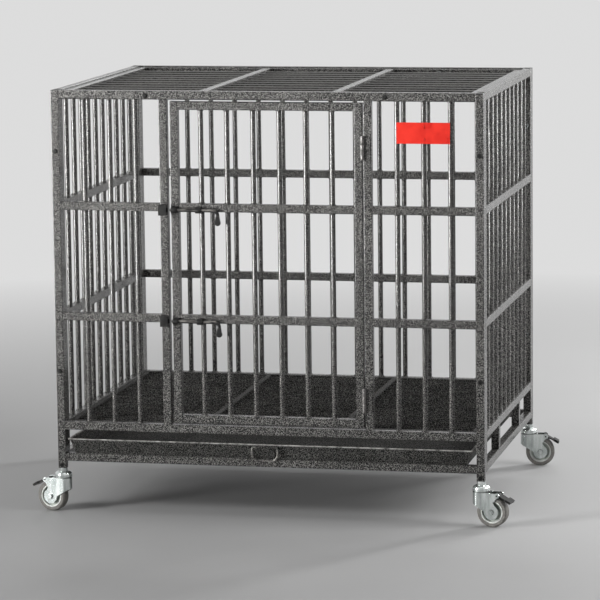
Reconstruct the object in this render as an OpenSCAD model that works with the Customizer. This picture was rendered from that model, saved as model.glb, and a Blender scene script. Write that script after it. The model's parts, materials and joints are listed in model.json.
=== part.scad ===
// Heavy duty dog crate: bolted panels of square tube with round bars, a hinged front door with two slide
// bolts, a floor grate, a slide-out tray and four braked swivel casters.
// Millimetres. +X runs along the front to the right, +Y from the door to the back, +Z up.
// The origin is on the floor under the middle of the frame.

/* [Frame] */
// Length of the frame over its posts
crate_len = 1070; // [980:1:1250]
// Depth of the frame over its posts
crate_depth = 781; // [700:1:900]
// Height of the posts
post_h = 938; // [850:1:1050]
// Side of the square tube
tube_w = 20; // [18:0.5:24]
// Wall of the square tube
tube_wall = 1.5; // [1:0.1:2.5]
// Rounding of the tube corners, as a share of the tube's side
tube_corner_share = 0.1; // [0.06:0.01:0.12]
// Rise of the bottom rails above the feet of the posts
bottom_rail_rise = 18; // [10:1:30]
// Clear height between the bottom rails and the floor rails
tray_bay_h = 59; // [52:1:80]
// Distance of the side struts from the middle of the side
strut_offset = 160; // [100:1:220]

/* [Bars] */
// Diameter of the round bars
bar_d = 12.7; // [10:0.1:15]
// Wall of the round bars
bar_wall = 1.2; // [0.8:0.1:2]
// Pitch of the round bars
bar_pitch = 65; // [55:1:80]

/* [Top panel] */
// Depth of the top panel below the top rails
top_recess = 3; // [0:0.5:8]
// Distance of the cross rails from the middle of the top
top_cross_offset = 165; // [100:1:250]

/* [Floor grate] */
// Side of the square tube of the grate
grate_tube_w = 12; // [10:0.5:14]
// Wall of the square tube of the grate
grate_tube_wall = 1.2; // [0.8:0.1:2]
// Diameter of the grate rods
rod_d = 6; // [4:0.5:8]
// Pitch of the grate rods
rod_pitch = 26; // [20:1:32]
// Gap between the grate and the floor rails
grate_gap = 3; // [1:0.5:5]
// Distance of the bearers from the middle of the grate
bearer_offset = 170; // [100:1:250]

/* [Bolts and plugs] */
// Diameter of the panel bolts
bolt_d = 6; // [5:0.5:8]
// Diameter of the bolt heads
bolt_head_d = 12; // [10:0.5:14]
// Height of the lower panel bolts above the floor rails
lower_bolt_rise = 136; // [60:1:200]
// Distance of the upper panel bolts below the top rails
upper_bolt_drop = 139; // [60:1:200]
// Distance of the top panel bolts from the middle of the front
top_bolt_offset = 296; // [200:1:350]
// Depth of the plugs in the tops of the posts
plug_h = 12; // [8:1:20]
// Diameter of the screws that hold the caster stems
stem_screw_d = 6; // [4:0.5:6]
// Height of these screws above the feet of the posts
stem_screw_rise = 8; // [6:0.5:12]

/* [Door] */
// Width of the opening between the door jambs
door_opening_w = 486; // [440:1:540]
// Gap above and below the door
door_gap = 5.5; // [4:0.5:7]
// Gap beside the door, at the latches
latch_gap = 7.5; // [5:0.5:9]
// Gap beside the door, at the hinges
hinge_gap = 2.5; // [2:0.5:5]
// Height of the hinges
hinge_h = 56; // [45:1:70]
// Distance of the upper hinge below the top of the door
upper_hinge_drop = 109; // [60:1:150]
// Distance of the lower hinge above the bottom of the door
lower_hinge_rise = 68; // [50:1:150]
// Diameter of the hinge barrels
knuckle_d = 10; // [9:0.5:11]
// Diameter of the hinge pins
hinge_pin_d = 5; // [4:0.5:6]
// Width of each hinge leaf from the pin
leaf_w = 18; // [14:0.5:20]

/* [Slide bolts] */
// Diameter of the rods
latch_rod_d = 9; // [7:0.5:10]
// Distance from the tip of a rod to its hanging paddle
latch_reach = 119; // [110:1:140]
// Travel of the rods into their keepers
latch_throw = 26; // [20:1:28]
// Drop of the rods below the middle of the mid rails
latch_drop = 5; // [0:0.5:6]
// Distance of the rods in front of the door
latch_standoff = 9; // [8:0.5:12]
// Radius of the bend above the paddle
latch_bend_r = 12; // [10:0.5:15]
// Width of the paddle
paddle_w = 15; // [13:0.5:20]
// Thickness of the paddle
paddle_t = 4; // [3:0.5:6]
// Height of the keepers
keeper_h = 26; // [22:1:30]

/* [Tray] */
// Height of the tray
tray_h = 38; // [30:1:45]
// Thickness of the tray sheet
tray_sheet = 1.5; // [1:0.1:2.5]
// Slope of the tray walls, as the inward run from rim to floor
tray_flare = 12; // [6:0.5:16]
// Gap between the tray rim and the posts
tray_side_gap = 9; // [6:0.5:16]
// Reach of the tray rim past the front and back of the frame
tray_overhang = 7; // [4:0.5:8]
// Width of the ring handle, from wire to wire
ring_w = 64; // [56:1:80]
// Diameter of the handle wire
ring_wire_d = 4; // [3:0.5:4]
// Drop of the handle below its pivot
ring_drop = 33; // [28:0.5:36]
// Distance of the handle from the middle of the tray
ring_offset = -8; // [-60:1:60]
// Width of the strap that holds the handle
strap_w = 44; // [30:1:46]
// Distance of the tray runners from the middle of the crate
runner_offset = 250; // [150:1:350]

/* [Plate] */
// Width of the plate on the front bars
plate_w = 130; // [110:1:140]
// Height of the plate
plate_h = 51; // [40:1:60]
// Distance of the plate below the top rails
plate_drop = 51; // [30:1:80]

/* [Casters] */
// Height of the post feet above the floor
caster_h = 110; // [106:1:130]
// Diameter of the wheels
wheel_d = 75; // [65:1:78]
// Width of the tyres
tread_w = 25; // [20:0.5:28]
// Distance of the axles behind the swivel axes
trail = 30; // [24:0.5:34]
// Diameter of the stems
stem_d = 12; // [10:0.5:14]
// Length of the stems inside the posts
stem_len = 40; // [25:1:60]
// Diameter of the axles
axle_d = 8; // [6:0.5:10]
// Length of the brake levers from their pivots
brake_len = 38; // [34:1:46]
// Slope of the brake levers at rest
brake_tilt = 30; // [26:1:32]
// Turn of the front left caster
front_left_yaw = 167; // [90:1:270]
// Turn of the front right caster
front_right_yaw = -10; // [-90:1:90]
// Turn of the back left caster
back_left_yaw = 180; // [90:1:270]
// Turn of the back right caster
back_right_yaw = 9; // [-90:1:90]

/* [Hidden] */
$fn = 64;
overrun = 1;

// Colours of the coat, the dark fittings, the zinc plating, the plastics, the rubber and the plate
coat = [0.30, 0.30, 0.29];
dark = [0.10, 0.10, 0.10];
zinc = [0.70, 0.70, 0.68];
plastic = [0.78, 0.78, 0.76];
rubber = [0.45, 0.45, 0.44];
plate_red = [0.75, 0.08, 0.08];

// Clearances of welded bars in their holes, of bolts, and of parts that turn or slide on each other
bar_clear = 0.2;
bolt_clear = 0.2;
run_clear = 0.05;
// Root gap of the welds between the tubes of one panel
weld_gap = 0.1;

// Axes of the posts and of the stiles beside them
post_x = (crate_len - tube_w) / 2;
post_y = (crate_depth - tube_w) / 2;
stile_y = post_y - tube_w;
front_y = -crate_depth / 2;
inner_len = crate_len - 2 * tube_w;
inner_depth = crate_depth - 2 * tube_w;
panel_depth = inner_depth - 2 * tube_w;

// Middle heights of the rails, from the bottom up
frame_top = caster_h + post_h;
bottom_rail_z = caster_h + bottom_rail_rise + tube_w / 2;
floor_rail_z = bottom_rail_z + tube_w + tray_bay_h;
top_rail_z = frame_top - tube_w / 2;
mid_rail_step = (top_rail_z - floor_rail_z) / 3;
mid_rails = [floor_rail_z + mid_rail_step, floor_rail_z + 2 * mid_rail_step];
plain_rails = [bottom_rail_z, floor_rail_z, top_rail_z];

// Clear height of the barred walls between the floor rails and the top rails
wall_h = top_rail_z - floor_rail_z - tube_w;
wall_z = (top_rail_z + floor_rail_z) / 2;

// Barred sections beside the door
jamb_x = (door_opening_w + tube_w) / 2;
section_w = post_x - jamb_x - tube_w;
section_x = (post_x + jamb_x) / 2;

// Top panel
top_panel_z = top_rail_z - top_recess;
top_bars_len = inner_len - 2 * tube_w;

// Floor grate and its ledges
grate_len = inner_len - 2 * grate_gap;
grate_depth = inner_depth - 2 * grate_gap;
grate_inner_len = grate_len - 2 * grate_tube_w;
grate_inner_depth = grate_depth - 2 * grate_tube_w;
grate_z = floor_rail_z + (tube_w - grate_tube_w) / 2;
ledge_w = 15;
ledge_t = 2;
ledge_foot_z = floor_rail_z - tube_w / 2;
ledge_h = grate_z - grate_tube_w / 2 - ledge_foot_z;

// Panel bolts: places of their heads on the front, as X and Z
bolt_head_h = 4;
bolt_nut_h = 5;
bolt_nut_d = 11;
bolt_end = 1.5;
bolt_len = 2 * tube_w + bolt_nut_h + bolt_end;
upper_bolt_z = top_rail_z - upper_bolt_drop;
lower_bolt_z = floor_rail_z + lower_bolt_rise;
top_bolt_z = (top_rail_z + top_panel_z) / 2;
bolt_points = [
  for (side = [-1, 1])
    for (spot = [[post_x, upper_bolt_z], [post_x, lower_bolt_z], [top_bolt_offset, top_bolt_z]])
      [side * spot[0], spot[1]]
];
// Width of the flat top of a bolt head
bolt_crown_share = 0.6;
// Height of the straight edge of a bolt head
bolt_edge_share = 0.4;

// Stem screws: each one stops just short of its stem
screw_head_d = 10;
screw_head_h = 2.5;
screw_tip_gap = 0.1;
screw_len = (tube_w - stem_d) / 2 - screw_tip_gap;

// Door and hinges; the hinge axis stands in the gap, clear of the front faces
door_w = door_opening_w - latch_gap - hinge_gap;
door_x = (latch_gap - hinge_gap) / 2;
door_h = wall_h - 2 * door_gap;
door_stile_x = (door_w - tube_w) / 2;
door_rail_len = door_w - 2 * tube_w;
door_bar_len = door_h - 2 * tube_w;
door_rail_ends = [wall_z - (door_h - tube_w) / 2, wall_z + (door_h - tube_w) / 2];
knuckle_lift = 0.3;
hinge_x = (door_opening_w - hinge_gap) / 2;
hinge_y = front_y - knuckle_lift - knuckle_d / 2;
hinge_levels = [wall_z - door_h / 2 + lower_hinge_rise, wall_z + door_h / 2 - upper_hinge_drop];
leaf_t = 3;
leaf_inset = 0.5;
leaf_lap = 3;
knuckle_gap = 0.5;
knuckle_h = (hinge_h - 2 * knuckle_gap) / 3;
knuckle_step = knuckle_h + knuckle_gap;
pin_head_d = 8;
pin_head_h = 2;

// Slide bolts, drawn clear of their keepers
latch_y = front_y - latch_standoff;
latch_levels = [mid_rails[0] - latch_drop, mid_rails[1] - latch_drop];
latch_tip_x = door_x - door_w / 2;
latch_tip_h = 2;
latch_bend_x = latch_tip_x + latch_reach - latch_bend_r;
paddle_neck = 2;
paddle_len = 16;
// Half width of the paddle's straight flanks at the middle of its round end
paddle_flank_share = 0.94;
guide_wall = 3;
guide_len = 14;
guide_stop_gap = 3;
guide_r = latch_rod_d / 2 + guide_wall;
guide_places = [door_x - door_stile_x, latch_bend_x - latch_throw - guide_stop_gap - guide_len / 2];
keeper_clear = 1.5;
keeper_wall = 3.5;
keeper_hole = latch_rod_d + 2 * keeper_clear;
keeper_depth = latch_standoff + keeper_hole / 2 + keeper_wall;

// Tray: half sizes over the hem of its rim, and of its walls below the hem; it slides on the bottom rails
tray_hem_w = 2.5;
tray_hem_h = 3;
slide_gap = 0.1;
tray_z = bottom_rail_z + tube_w / 2 + slide_gap;
tray_rim_x = inner_len / 2 - tray_side_gap;
tray_rim_y = crate_depth / 2 + tray_overhang;
tray_wall_x = tray_rim_x - tray_hem_w;
tray_wall_y = tray_rim_y - tray_hem_w;
tray_slope = tray_flare / tray_h;
tray_sheet_run = tray_sheet * sqrt(1 + tray_slope * tray_slope);

// Ring handle: its upper side turns in a strap on the sloping front wall
ring_pivot_rise = 30;
ring_reach = 4;
ring_top_r = 5;
ring_foot_r = 16;
strap_t = 1.5;
strap_foot = 8;
strap_r = ring_wire_d / 2 + run_clear + strap_t;
ring_z = tray_z + ring_pivot_rise;
ring_y = -wall_run(ring_pivot_rise) - ring_reach;

// Plate on the middle bar of the section beside the door, or on the next one where none is in the middle
section_bars = bar_places(section_w);
plate_x = section_x + section_bars[floor(len(section_bars) / 2)];
plate_t = 1.5;
plate_gap = 0.2;
plate_z = top_rail_z - tube_w / 2 - plate_drop - plate_h / 2;
plate_y = -post_y - bar_d / 2 - plate_gap - plate_t;
rivet_d = 4;
rivet_head_d = 7;
rivet_head_h = 1.5;
rivet_tail = 2;
rivet_step = 30;
rivet_len = plate_t + plate_gap + bar_wall + rivet_tail;

// Caster levels, from the floor up
axle_z = wheel_d / 2;
crown_gap = 7;
crown_t = 3;
boss_h = 6;
washer_t = 2;
cup_t = 8;
rivet_flange_h = 4;
crown_z = wheel_d + crown_gap;
crown_top = crown_z + crown_t;
boss_top = crown_top + boss_h;
race_gap = 0.2;
washer_z = boss_top + race_gap;
cup_z = washer_z + washer_t;
flange_top = crown_z - race_gap;
cup_top = cup_z + cup_t;
dome_step = 15;

// Caster radii
boss_r = 17;
cup_gap = 2.5;
cup_wall = 2;
cup_r = boss_r + cup_gap + cup_wall;
collar_r = 10.5;
flange_r = 10;
washer_clear = 0.3;

// Fork, wheel, axle and brake
leg_t = 2.5;
hub_proud = 1;
hub_w = tread_w + 2 * hub_proud;
hub_gap = 0.5;
leg_y = hub_w / 2 + hub_gap;
fork_w = 2 * (leg_y + leg_t);
fork_nose = 5;
apron_drop = 24;
apron_z = crown_z - apron_drop;
sheet_top = crown_z + crown_t / 2;
crown_reach = 24;
eye_r = 18;
// Half width of a leg where it meets its axle eye
leg_foot_share = 0.94;
rim_w = 23;
rim_t = 3;
tyre_t = 9.5;
web_t = 6;
hub_r = 11;
tyre_edge = 3;
axle_head_d = 13;
axle_head_h = 5;
brake_pivot_gap = 5.5;
brake_pivot_turn = 71;
brake_pivot_r = wheel_d / 2 + brake_pivot_gap;
brake_x = trail + brake_pivot_r * cos(brake_pivot_turn);
brake_z = axle_z + brake_pivot_r * sin(brake_pivot_turn);
brake_pin_d = 4;
brake_hub_r = 4;
brake_side_gap = 0.5;
brake_w = 2 * (leg_y - brake_side_gap);
brake_plate_t = 3;
brake_ear_r = 6.5;
pedal_len = 14;
pedal_w = 34;
pedal_t = 6;
shoe_start = 5;
shoe_len = 8;
shoe_w = 20;
shoe_drop = 1.8;

// Places of the bars that fill a span at a pitch, about its middle
function bar_places(span, pitch = bar_pitch) =
  let (count = floor(span / pitch))
  [for (i = [0 : count - 1]) (i - (count - 1) / 2) * pitch];

// Length of a tube that is welded between two others
function welded(len) = len - 2 * weld_gap;

// Half depth of the tray's outer wall at a height above its floor
function wall_run(rise) = tray_wall_y - tray_flare + tray_slope * rise;

// Half sizes of the tray at a height above its floor, less an inset along each axis
function tray_half(rise, inset) =
  [tray_wall_x - tray_flare + tray_slope * rise - inset[0], wall_run(rise) - inset[1]];

// Outer outline of a square tube, with rounded corners
module tube_outline(side) {
  corner_r = tube_corner_share * side;
  flat = side - 2 * corner_r;
  square([side, flat], center = true);
  square([flat, side], center = true);
  for (x = [-1, 1])
    for (y = [-1, 1])
      translate([x * flat / 2, y * flat / 2]) circle(r = corner_r);
}

// Square tube along each axis, about the origin
module tube_z(len, side = tube_w, wall = tube_wall) {
  linear_extrude(height = len, center = true)
    difference() {
      tube_outline(side);
      square(side - 2 * wall, center = true);
    }
}

module tube_x(len, side = tube_w, wall = tube_wall) {
  rotate([0, 90, 0]) tube_z(len, side, wall);
}

module tube_y(len, side = tube_w, wall = tube_wall) {
  rotate([90, 0, 0]) tube_z(len, side, wall);
}

// Tube along X with a hole along Z for each bar that crosses it
module drilled_tube(len, places, hole_d, side = tube_w, wall = tube_wall) {
  difference() {
    tube_x(len, side, wall);
    for (x = places)
      translate([x, 0, 0]) cylinder(d = hole_d, h = side + 2 * overrun, center = true);
  }
}

module drilled_rail(len, places) {
  drilled_tube(len, places, bar_d + 2 * bar_clear);
}

// Round bar along Z, about the origin
module bar(len) {
  linear_extrude(height = len, center = true)
    difference() {
      circle(d = bar_d);
      circle(d = bar_d - 2 * bar_wall);
    }
}

// A child at the head of each panel bolt, with +Y pointing into the frame
module at_bolts() {
  for (turn = [0, 180])
    for (spot = bolt_points)
      rotate([0, 0, turn]) translate([spot[0], front_y, spot[1]]) children();
}

module bolt_holes() {
  at_bolts()
    rotate([-90, 0, 0])
      translate([0, 0, -overrun])
        cylinder(d = bolt_d + 2 * bolt_clear, h = 2 * (tube_w + overrun));
}

// A child on the outer face of each post's foot, with +Y pointing to the post's axis
module at_stem_screws() {
  for (turn = [0, 180])
    for (x = [-post_x, post_x])
      rotate([0, 0, turn]) translate([x, front_y, caster_h + stem_screw_rise]) children();
}

module stem_screw_holes() {
  at_stem_screws()
    rotate([-90, 0, 0])
      translate([0, 0, -overrun])
        cylinder(d = stem_screw_d + 2 * bolt_clear, h = tube_w / 2 + overrun);
}

// Posts of the front panel, or of the back panel when side is 1
module posts(side) {
  color(coat)
    difference() {
      for (end = [-1, 1])
        translate([end * post_x, side * post_y, caster_h + post_h / 2]) tube_z(post_h);
      bolt_holes();
      stem_screw_holes();
    }
}

// Full-length rails of the front panel, or of the back panel when side is 1
module long_rails(side) {
  difference() {
    for (z = plain_rails) translate([0, side * post_y, z]) tube_x(inner_len);
    bolt_holes();
  }
}

module front_rails() {
  color(coat) long_rails(-1);
}

module door_jambs() {
  color(coat)
    for (end = [-1, 1]) translate([end * jamb_x, -post_y, wall_z]) tube_z(wall_h);
}

module front_mid_rails() {
  color(coat)
    for (end = [-1, 1])
      for (z = mid_rails)
        translate([end * section_x, -post_y, z]) drilled_rail(section_w, section_bars);
}

module front_bars() {
  color(coat)
    difference() {
      for (end = [-1, 1])
        for (x = section_bars)
          translate([end * section_x + x, -post_y, wall_z]) bar(wall_h);
      at_rivets()
        rotate([-90, 0, 0]) cylinder(d = rivet_d + 2 * bolt_clear, h = rivet_len + overrun);
    }
}

module back_rails() {
  color(coat) {
    long_rails(1);
    for (z = mid_rails)
      translate([0, post_y, z]) drilled_rail(inner_len, bar_places(inner_len));
  }
}

module back_bars() {
  color(coat)
    for (x = bar_places(inner_len)) translate([x, post_y, wall_z]) bar(wall_h);
}

// Stiles, rails and struts of the left side, or of the right side when side is 1
module side_panel_frame(side) {
  stile_h = frame_top - bottom_rail_z + tube_w / 2;
  color(coat) {
    difference() {
      for (end = [-1, 1])
        translate([side * post_x, end * stile_y, frame_top - stile_h / 2]) tube_z(stile_h);
      bolt_holes();
    }
    translate([side * post_x, 0, 0]) {
      for (z = plain_rails) translate([0, 0, z]) tube_y(welded(panel_depth));
      for (z = mid_rails)
        translate([0, 0, z])
          rotate([0, 0, 90]) drilled_rail(welded(panel_depth), bar_places(panel_depth));
      for (end = [-1, 1])
        translate([0, end * strut_offset, (bottom_rail_z + floor_rail_z) / 2]) tube_z(welded(tray_bay_h));
    }
  }
}

module side_panel_bars(side) {
  color(coat)
    for (y = bar_places(panel_depth)) translate([side * post_x, y, wall_z]) bar(wall_h);
}

module top_panel_frame() {
  color(coat)
    translate([0, 0, top_panel_z])
      for (end = [-1, 1]) {
        difference() {
          translate([0, end * stile_y, 0]) tube_x(inner_len);
          translate([0, 0, -top_panel_z]) bolt_holes();
        }
        translate([end * (inner_len - tube_w) / 2, 0, 0]) tube_y(welded(panel_depth));
        translate([end * top_cross_offset, 0, 0])
          rotate([90, 0, 90]) drilled_rail(welded(panel_depth), bar_places(panel_depth));
      }
}

module top_panel_bars() {
  color(coat)
    for (y = bar_places(panel_depth))
      translate([0, y, top_panel_z]) rotate([0, 90, 0]) bar(top_bars_len);
}

module floor_grate_frame() {
  color(coat)
    translate([0, 0, grate_z])
      for (end = [-1, 1]) {
        translate([0, end * (grate_depth - grate_tube_w) / 2, 0])
          tube_x(grate_len, grate_tube_w, grate_tube_wall);
        translate([end * (grate_len - grate_tube_w) / 2, 0, 0])
          tube_y(welded(grate_inner_depth), grate_tube_w, grate_tube_wall);
        translate([end * bearer_offset, 0, 0])
          rotate([90, 0, 90])
            drilled_tube(welded(grate_inner_depth), bar_places(grate_inner_depth, rod_pitch),
              rod_d + 2 * bar_clear, grate_tube_w, grate_tube_wall);
      }
}

module floor_grate_rods() {
  color(coat)
    for (y = bar_places(grate_inner_depth, rod_pitch))
      translate([0, y, grate_z])
        rotate([0, 90, 0]) cylinder(d = rod_d, h = grate_inner_len, center = true);
}

// Angles on the front and back floor rails, which the edge of the grate lies on
module grate_ledges() {
  color(coat)
    for (turn = [0, 180])
      rotate([0, 0, turn])
        translate([0, -inner_depth / 2, ledge_foot_z])
          rotate([90, 0, 90])
            linear_extrude(height = grate_len, center = true)
              polygon([[0, 0], [ledge_t, 0], [ledge_t, ledge_h - ledge_t], [ledge_w, ledge_h - ledge_t],
                [ledge_w, ledge_h], [0, ledge_h]]);
}

module tray_runners() {
  color(coat)
    for (end = [-1, 1]) translate([end * runner_offset, 0, bottom_rail_z]) tube_y(inner_depth);
}

module panel_bolts() {
  head_r = bolt_head_d / 2;
  color(dark)
    at_bolts()
      rotate([-90, 0, 0]) {
        cylinder(d = bolt_d, h = bolt_len);
        rotate_extrude()
          polygon([[0, 0], [head_r, 0], [head_r, -bolt_edge_share * bolt_head_h],
            [bolt_crown_share * head_r, -bolt_head_h], [0, -bolt_head_h]]);
      }
}

module panel_nuts() {
  color(zinc)
    at_bolts()
      rotate([-90, 0, 0])
        translate([0, 0, 2 * tube_w])
          difference() {
            cylinder(d = bolt_nut_d, h = bolt_nut_h, $fn = 6);
            translate([0, 0, -overrun]) cylinder(d = bolt_d + 2 * run_clear, h = bolt_nut_h + 2 * overrun);
          }
}

// A child on the axis of each post, at the floor
module at_posts() {
  for (x = [-post_x, post_x])
    for (y = [-post_y, post_y])
      translate([x, y, 0]) children();
}

// Square block that fills the bore of a post
module post_block(h) {
  bore = tube_w - 2 * tube_wall;
  linear_extrude(height = h) square(bore, center = true);
}

module post_plugs() {
  color(dark) at_posts() translate([0, 0, frame_top - plug_h]) post_block(plug_h);
}

module stem_sockets() {
  color(dark)
    difference() {
      at_posts() translate([0, 0, caster_h]) post_block(stem_len);
      at_posts()
        translate([0, 0, caster_h - overrun])
          cylinder(d = stem_d + 2 * run_clear, h = stem_len + 2 * overrun);
      stem_screw_holes();
    }
}

module stem_screws() {
  color(dark)
    at_stem_screws()
      rotate([-90, 0, 0]) {
        cylinder(d = stem_screw_d, h = screw_len);
        translate([0, 0, -screw_head_h]) cylinder(d = screw_head_d, h = screw_head_h);
      }
}

// Stem, collar, domed race cup, kingpin and its flange, turned in one piece
module caster_stems() {
  stem_r = stem_d / 2;
  kingpin = [[0, crown_z - rivet_flange_h], [flange_r, crown_z - rivet_flange_h], [flange_r, flange_top],
    [stem_r, flange_top], [stem_r, cup_z]];
  skirt = [[cup_r - cup_wall, cup_z], [cup_r - cup_wall, cup_z - boss_h], [cup_r, cup_z - boss_h]];
  dome = [
    for (turn = [0 : dome_step : 90])
      [collar_r + (cup_r - collar_r) * cos(turn), cup_z + cup_t * sin(turn)]
  ];
  stem = [[collar_r, caster_h], [stem_r, caster_h], [stem_r, caster_h + stem_len], [0, caster_h + stem_len]];
  color(zinc) at_posts() rotate_extrude() polygon(concat(kingpin, skirt, dome, stem));
}

module swivel_washers() {
  color(dark)
    at_posts()
      translate([0, 0, washer_z])
        difference() {
          cylinder(r = boss_r, h = washer_t);
          translate([0, 0, -overrun]) cylinder(d = stem_d + 2 * washer_clear, h = washer_t + 2 * overrun);
        }
}

// A child at the middle of each hinge, on its axis
module at_hinges() {
  for (z = hinge_levels) translate([hinge_x, hinge_y, z]) children();
}

// Leaf on the +X side of the hinge axis, with a knuckle at each of the given steps from its middle
module hinge_leaf(steps) {
  leaf_y = knuckle_d / 2 + knuckle_lift - leaf_t;
  root = knuckle_d / 2 + knuckle_gap;
  leaf_h = hinge_h - 2 * leaf_inset;
  translate([root, leaf_y, -leaf_h / 2]) cube([leaf_w - root, leaf_t, leaf_h]);
  for (step = steps)
    translate([0, 0, step * knuckle_step])
      linear_extrude(height = knuckle_h, center = true)
        difference() {
          union() {
            circle(d = knuckle_d);
            translate([0, leaf_y]) square([root + leaf_lap, leaf_t]);
          }
          circle(d = hinge_pin_d + 2 * run_clear);
        }
}

module jamb_hinge_leaves() {
  color(coat) at_hinges() hinge_leaf([-1, 1]);
}

module door_hinge_leaves() {
  color(coat) at_hinges() mirror([1, 0, 0]) hinge_leaf([0]);
}

module hinge_pins() {
  color(zinc)
    at_hinges() {
      cylinder(d = hinge_pin_d, h = hinge_h, center = true);
      translate([0, 0, hinge_h / 2]) cylinder(d = pin_head_d, h = pin_head_h);
    }
}

// Box on the left jamb with a square hole for the rod
module bolt_keepers() {
  color(dark)
    for (z = latch_levels)
      translate([-jamb_x, latch_y, z])
        difference() {
          translate([-tube_w / 2, latch_standoff - keeper_depth, -keeper_h / 2])
            cube([tube_w, keeper_depth, keeper_h]);
          cube([tube_w + 2 * overrun, keeper_hole, keeper_hole], center = true);
        }
}

// Saddle on the door with a round hole for the rod
module bolt_guides() {
  color(dark)
    for (z = latch_levels)
      for (x = guide_places)
        translate([x, latch_y, z])
          rotate([90, 0, 90])
            linear_extrude(height = guide_len, center = true)
              difference() {
                union() {
                  circle(r = guide_r);
                  translate([0, -guide_r]) square([latch_standoff, 2 * guide_r]);
                }
                circle(d = latch_rod_d + 2 * run_clear);
              }
}

// Flat teardrop below the origin, which is the end of the rod
module paddle() {
  end_r = paddle_w / 2;
  flank = paddle_flank_share * end_r;
  translate([0, paddle_t / 2, -paddle_neck])
    rotate([90, 0, 0])
      linear_extrude(height = paddle_t) {
        translate([0, -paddle_len]) circle(r = end_r);
        polygon([[-latch_rod_d / 2, 0], [latch_rod_d / 2, 0], [flank, -paddle_len], [-flank, -paddle_len]]);
      }
}

// Rod with a pointed tip, bent down into its paddle
module slide_bolt(z) {
  rod_len = latch_reach - latch_bend_r - latch_tip_h;
  color(dark)
    translate([latch_bend_x, latch_y, z]) {
      rotate([0, -90, 0]) cylinder(d = latch_rod_d, h = rod_len);
      translate([-rod_len, 0, 0])
        rotate([0, -90, 0])
          cylinder(d1 = latch_rod_d, d2 = latch_rod_d - 2 * latch_tip_h, h = latch_tip_h);
      translate([0, 0, -latch_bend_r]) {
        rotate([90, 0, 0])
          rotate_extrude(angle = 90) translate([latch_bend_r, 0]) circle(d = latch_rod_d);
        translate([latch_bend_r, 0, -paddle_neck]) cylinder(d = latch_rod_d, h = paddle_neck);
        translate([latch_bend_r, 0, 0]) paddle();
      }
    }
}

// A child at each plate rivet, at the front of the plate, with +Y pointing through it
module at_rivets() {
  for (end = [-1, 1])
    translate([plate_x, plate_y, plate_z + end * rivet_step / 2]) children();
}

module front_plate() {
  color(plate_red)
    difference() {
      translate([plate_x - plate_w / 2, plate_y, plate_z - plate_h / 2])
        cube([plate_w, plate_t, plate_h]);
      at_rivets()
        rotate([-90, 0, 0])
          translate([0, 0, -overrun])
            cylinder(d = rivet_d + 2 * bolt_clear, h = plate_t + 2 * overrun);
    }
}

module plate_rivets() {
  color(zinc)
    at_rivets()
      rotate([-90, 0, 0]) {
        cylinder(d = rivet_d, h = rivet_len);
        translate([0, 0, -rivet_head_h]) cylinder(d = rivet_head_d, h = rivet_head_h);
      }
}

module door_frame() {
  color(coat)
    translate([door_x, -post_y, 0]) {
      for (end = [-1, 1]) translate([end * door_stile_x, 0, wall_z]) tube_z(door_h);
      for (z = door_rail_ends) translate([0, 0, z]) tube_x(welded(door_rail_len));
      for (z = mid_rails)
        translate([0, 0, z]) drilled_rail(welded(door_rail_len), bar_places(door_rail_len));
    }
}

module door_bars() {
  color(coat)
    for (x = bar_places(door_rail_len)) translate([door_x + x, -post_y, wall_z]) bar(door_bar_len);
}

// Block with the tray's sloping sides between two heights, less an inset along each axis
module sloped_block(inset, low_z, high_z) {
  long = 2 * (crate_len + crate_depth);
  low = tray_half(low_z, inset);
  high = tray_half(high_z, inset);
  intersection() {
    rotate([90, 0, 0])
      linear_extrude(height = long, center = true)
        polygon([[-low[0], low_z], [low[0], low_z], [high[0], high_z], [-high[0], high_z]]);
    rotate([90, 0, 90])
      linear_extrude(height = long, center = true)
        polygon([[-low[1], low_z], [low[1], low_z], [high[1], high_z], [-high[1], high_z]]);
  }
}

// Pair of opposite tray walls: what is left of one block when another is cut out of it
module wall_pair(outer, inner) {
  difference() {
    sloped_block(outer, 0, tray_h);
    sloped_block(inner, -overrun, tray_h + overrun);
  }
}

// Floor sheet, end walls, long walls between them, and the hem round the rim
module tray_pan() {
  joint = tray_sheet_run + weld_gap;
  hem_x = tray_wall_x + weld_gap;
  hem_y = tray_wall_y + weld_gap;
  color(coat)
    translate([0, 0, tray_z]) {
      sloped_block([joint, joint], 0, tray_sheet);
      wall_pair([0, 0], [tray_sheet_run, -overrun]);
      wall_pair([joint, 0], [-overrun, tray_sheet_run]);
      translate([0, 0, tray_h - tray_hem_h])
        for (turn = [0, 180])
          rotate([0, 0, turn]) {
            translate([-tray_rim_x, hem_y, 0]) cube([2 * tray_rim_x, tray_rim_y - hem_y, tray_hem_h]);
            translate([hem_x, -tray_wall_y, 0]) cube([tray_rim_x - hem_x, 2 * tray_wall_y, tray_hem_h]);
          }
    }
}

// Strap on the front wall of the tray, curled round the upper side of the handle
module handle_strap() {
  color(coat)
    translate([ring_offset, 0, tray_z])
      rotate([90, 0, 90])
        linear_extrude(height = strap_w, center = true)
          difference() {
            union() {
              translate([ring_y, ring_pivot_rise]) circle(r = strap_r);
              polygon([[-wall_run(strap_foot), strap_foot], [-wall_run(ring_pivot_rise), ring_pivot_rise],
                [-wall_run(ring_pivot_rise) - strap_t, ring_pivot_rise],
                [-wall_run(strap_foot) - strap_t, strap_foot]]);
            }
            translate([ring_y, ring_pivot_rise]) circle(d = ring_wire_d + 2 * run_clear);
          }
}

// Quarter bend of the handle wire, from +X round to +Z
module wire_bend(bend_r) {
  rotate([90, 0, 0]) rotate_extrude(angle = 90) translate([bend_r, 0]) circle(d = ring_wire_d);
}

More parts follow.
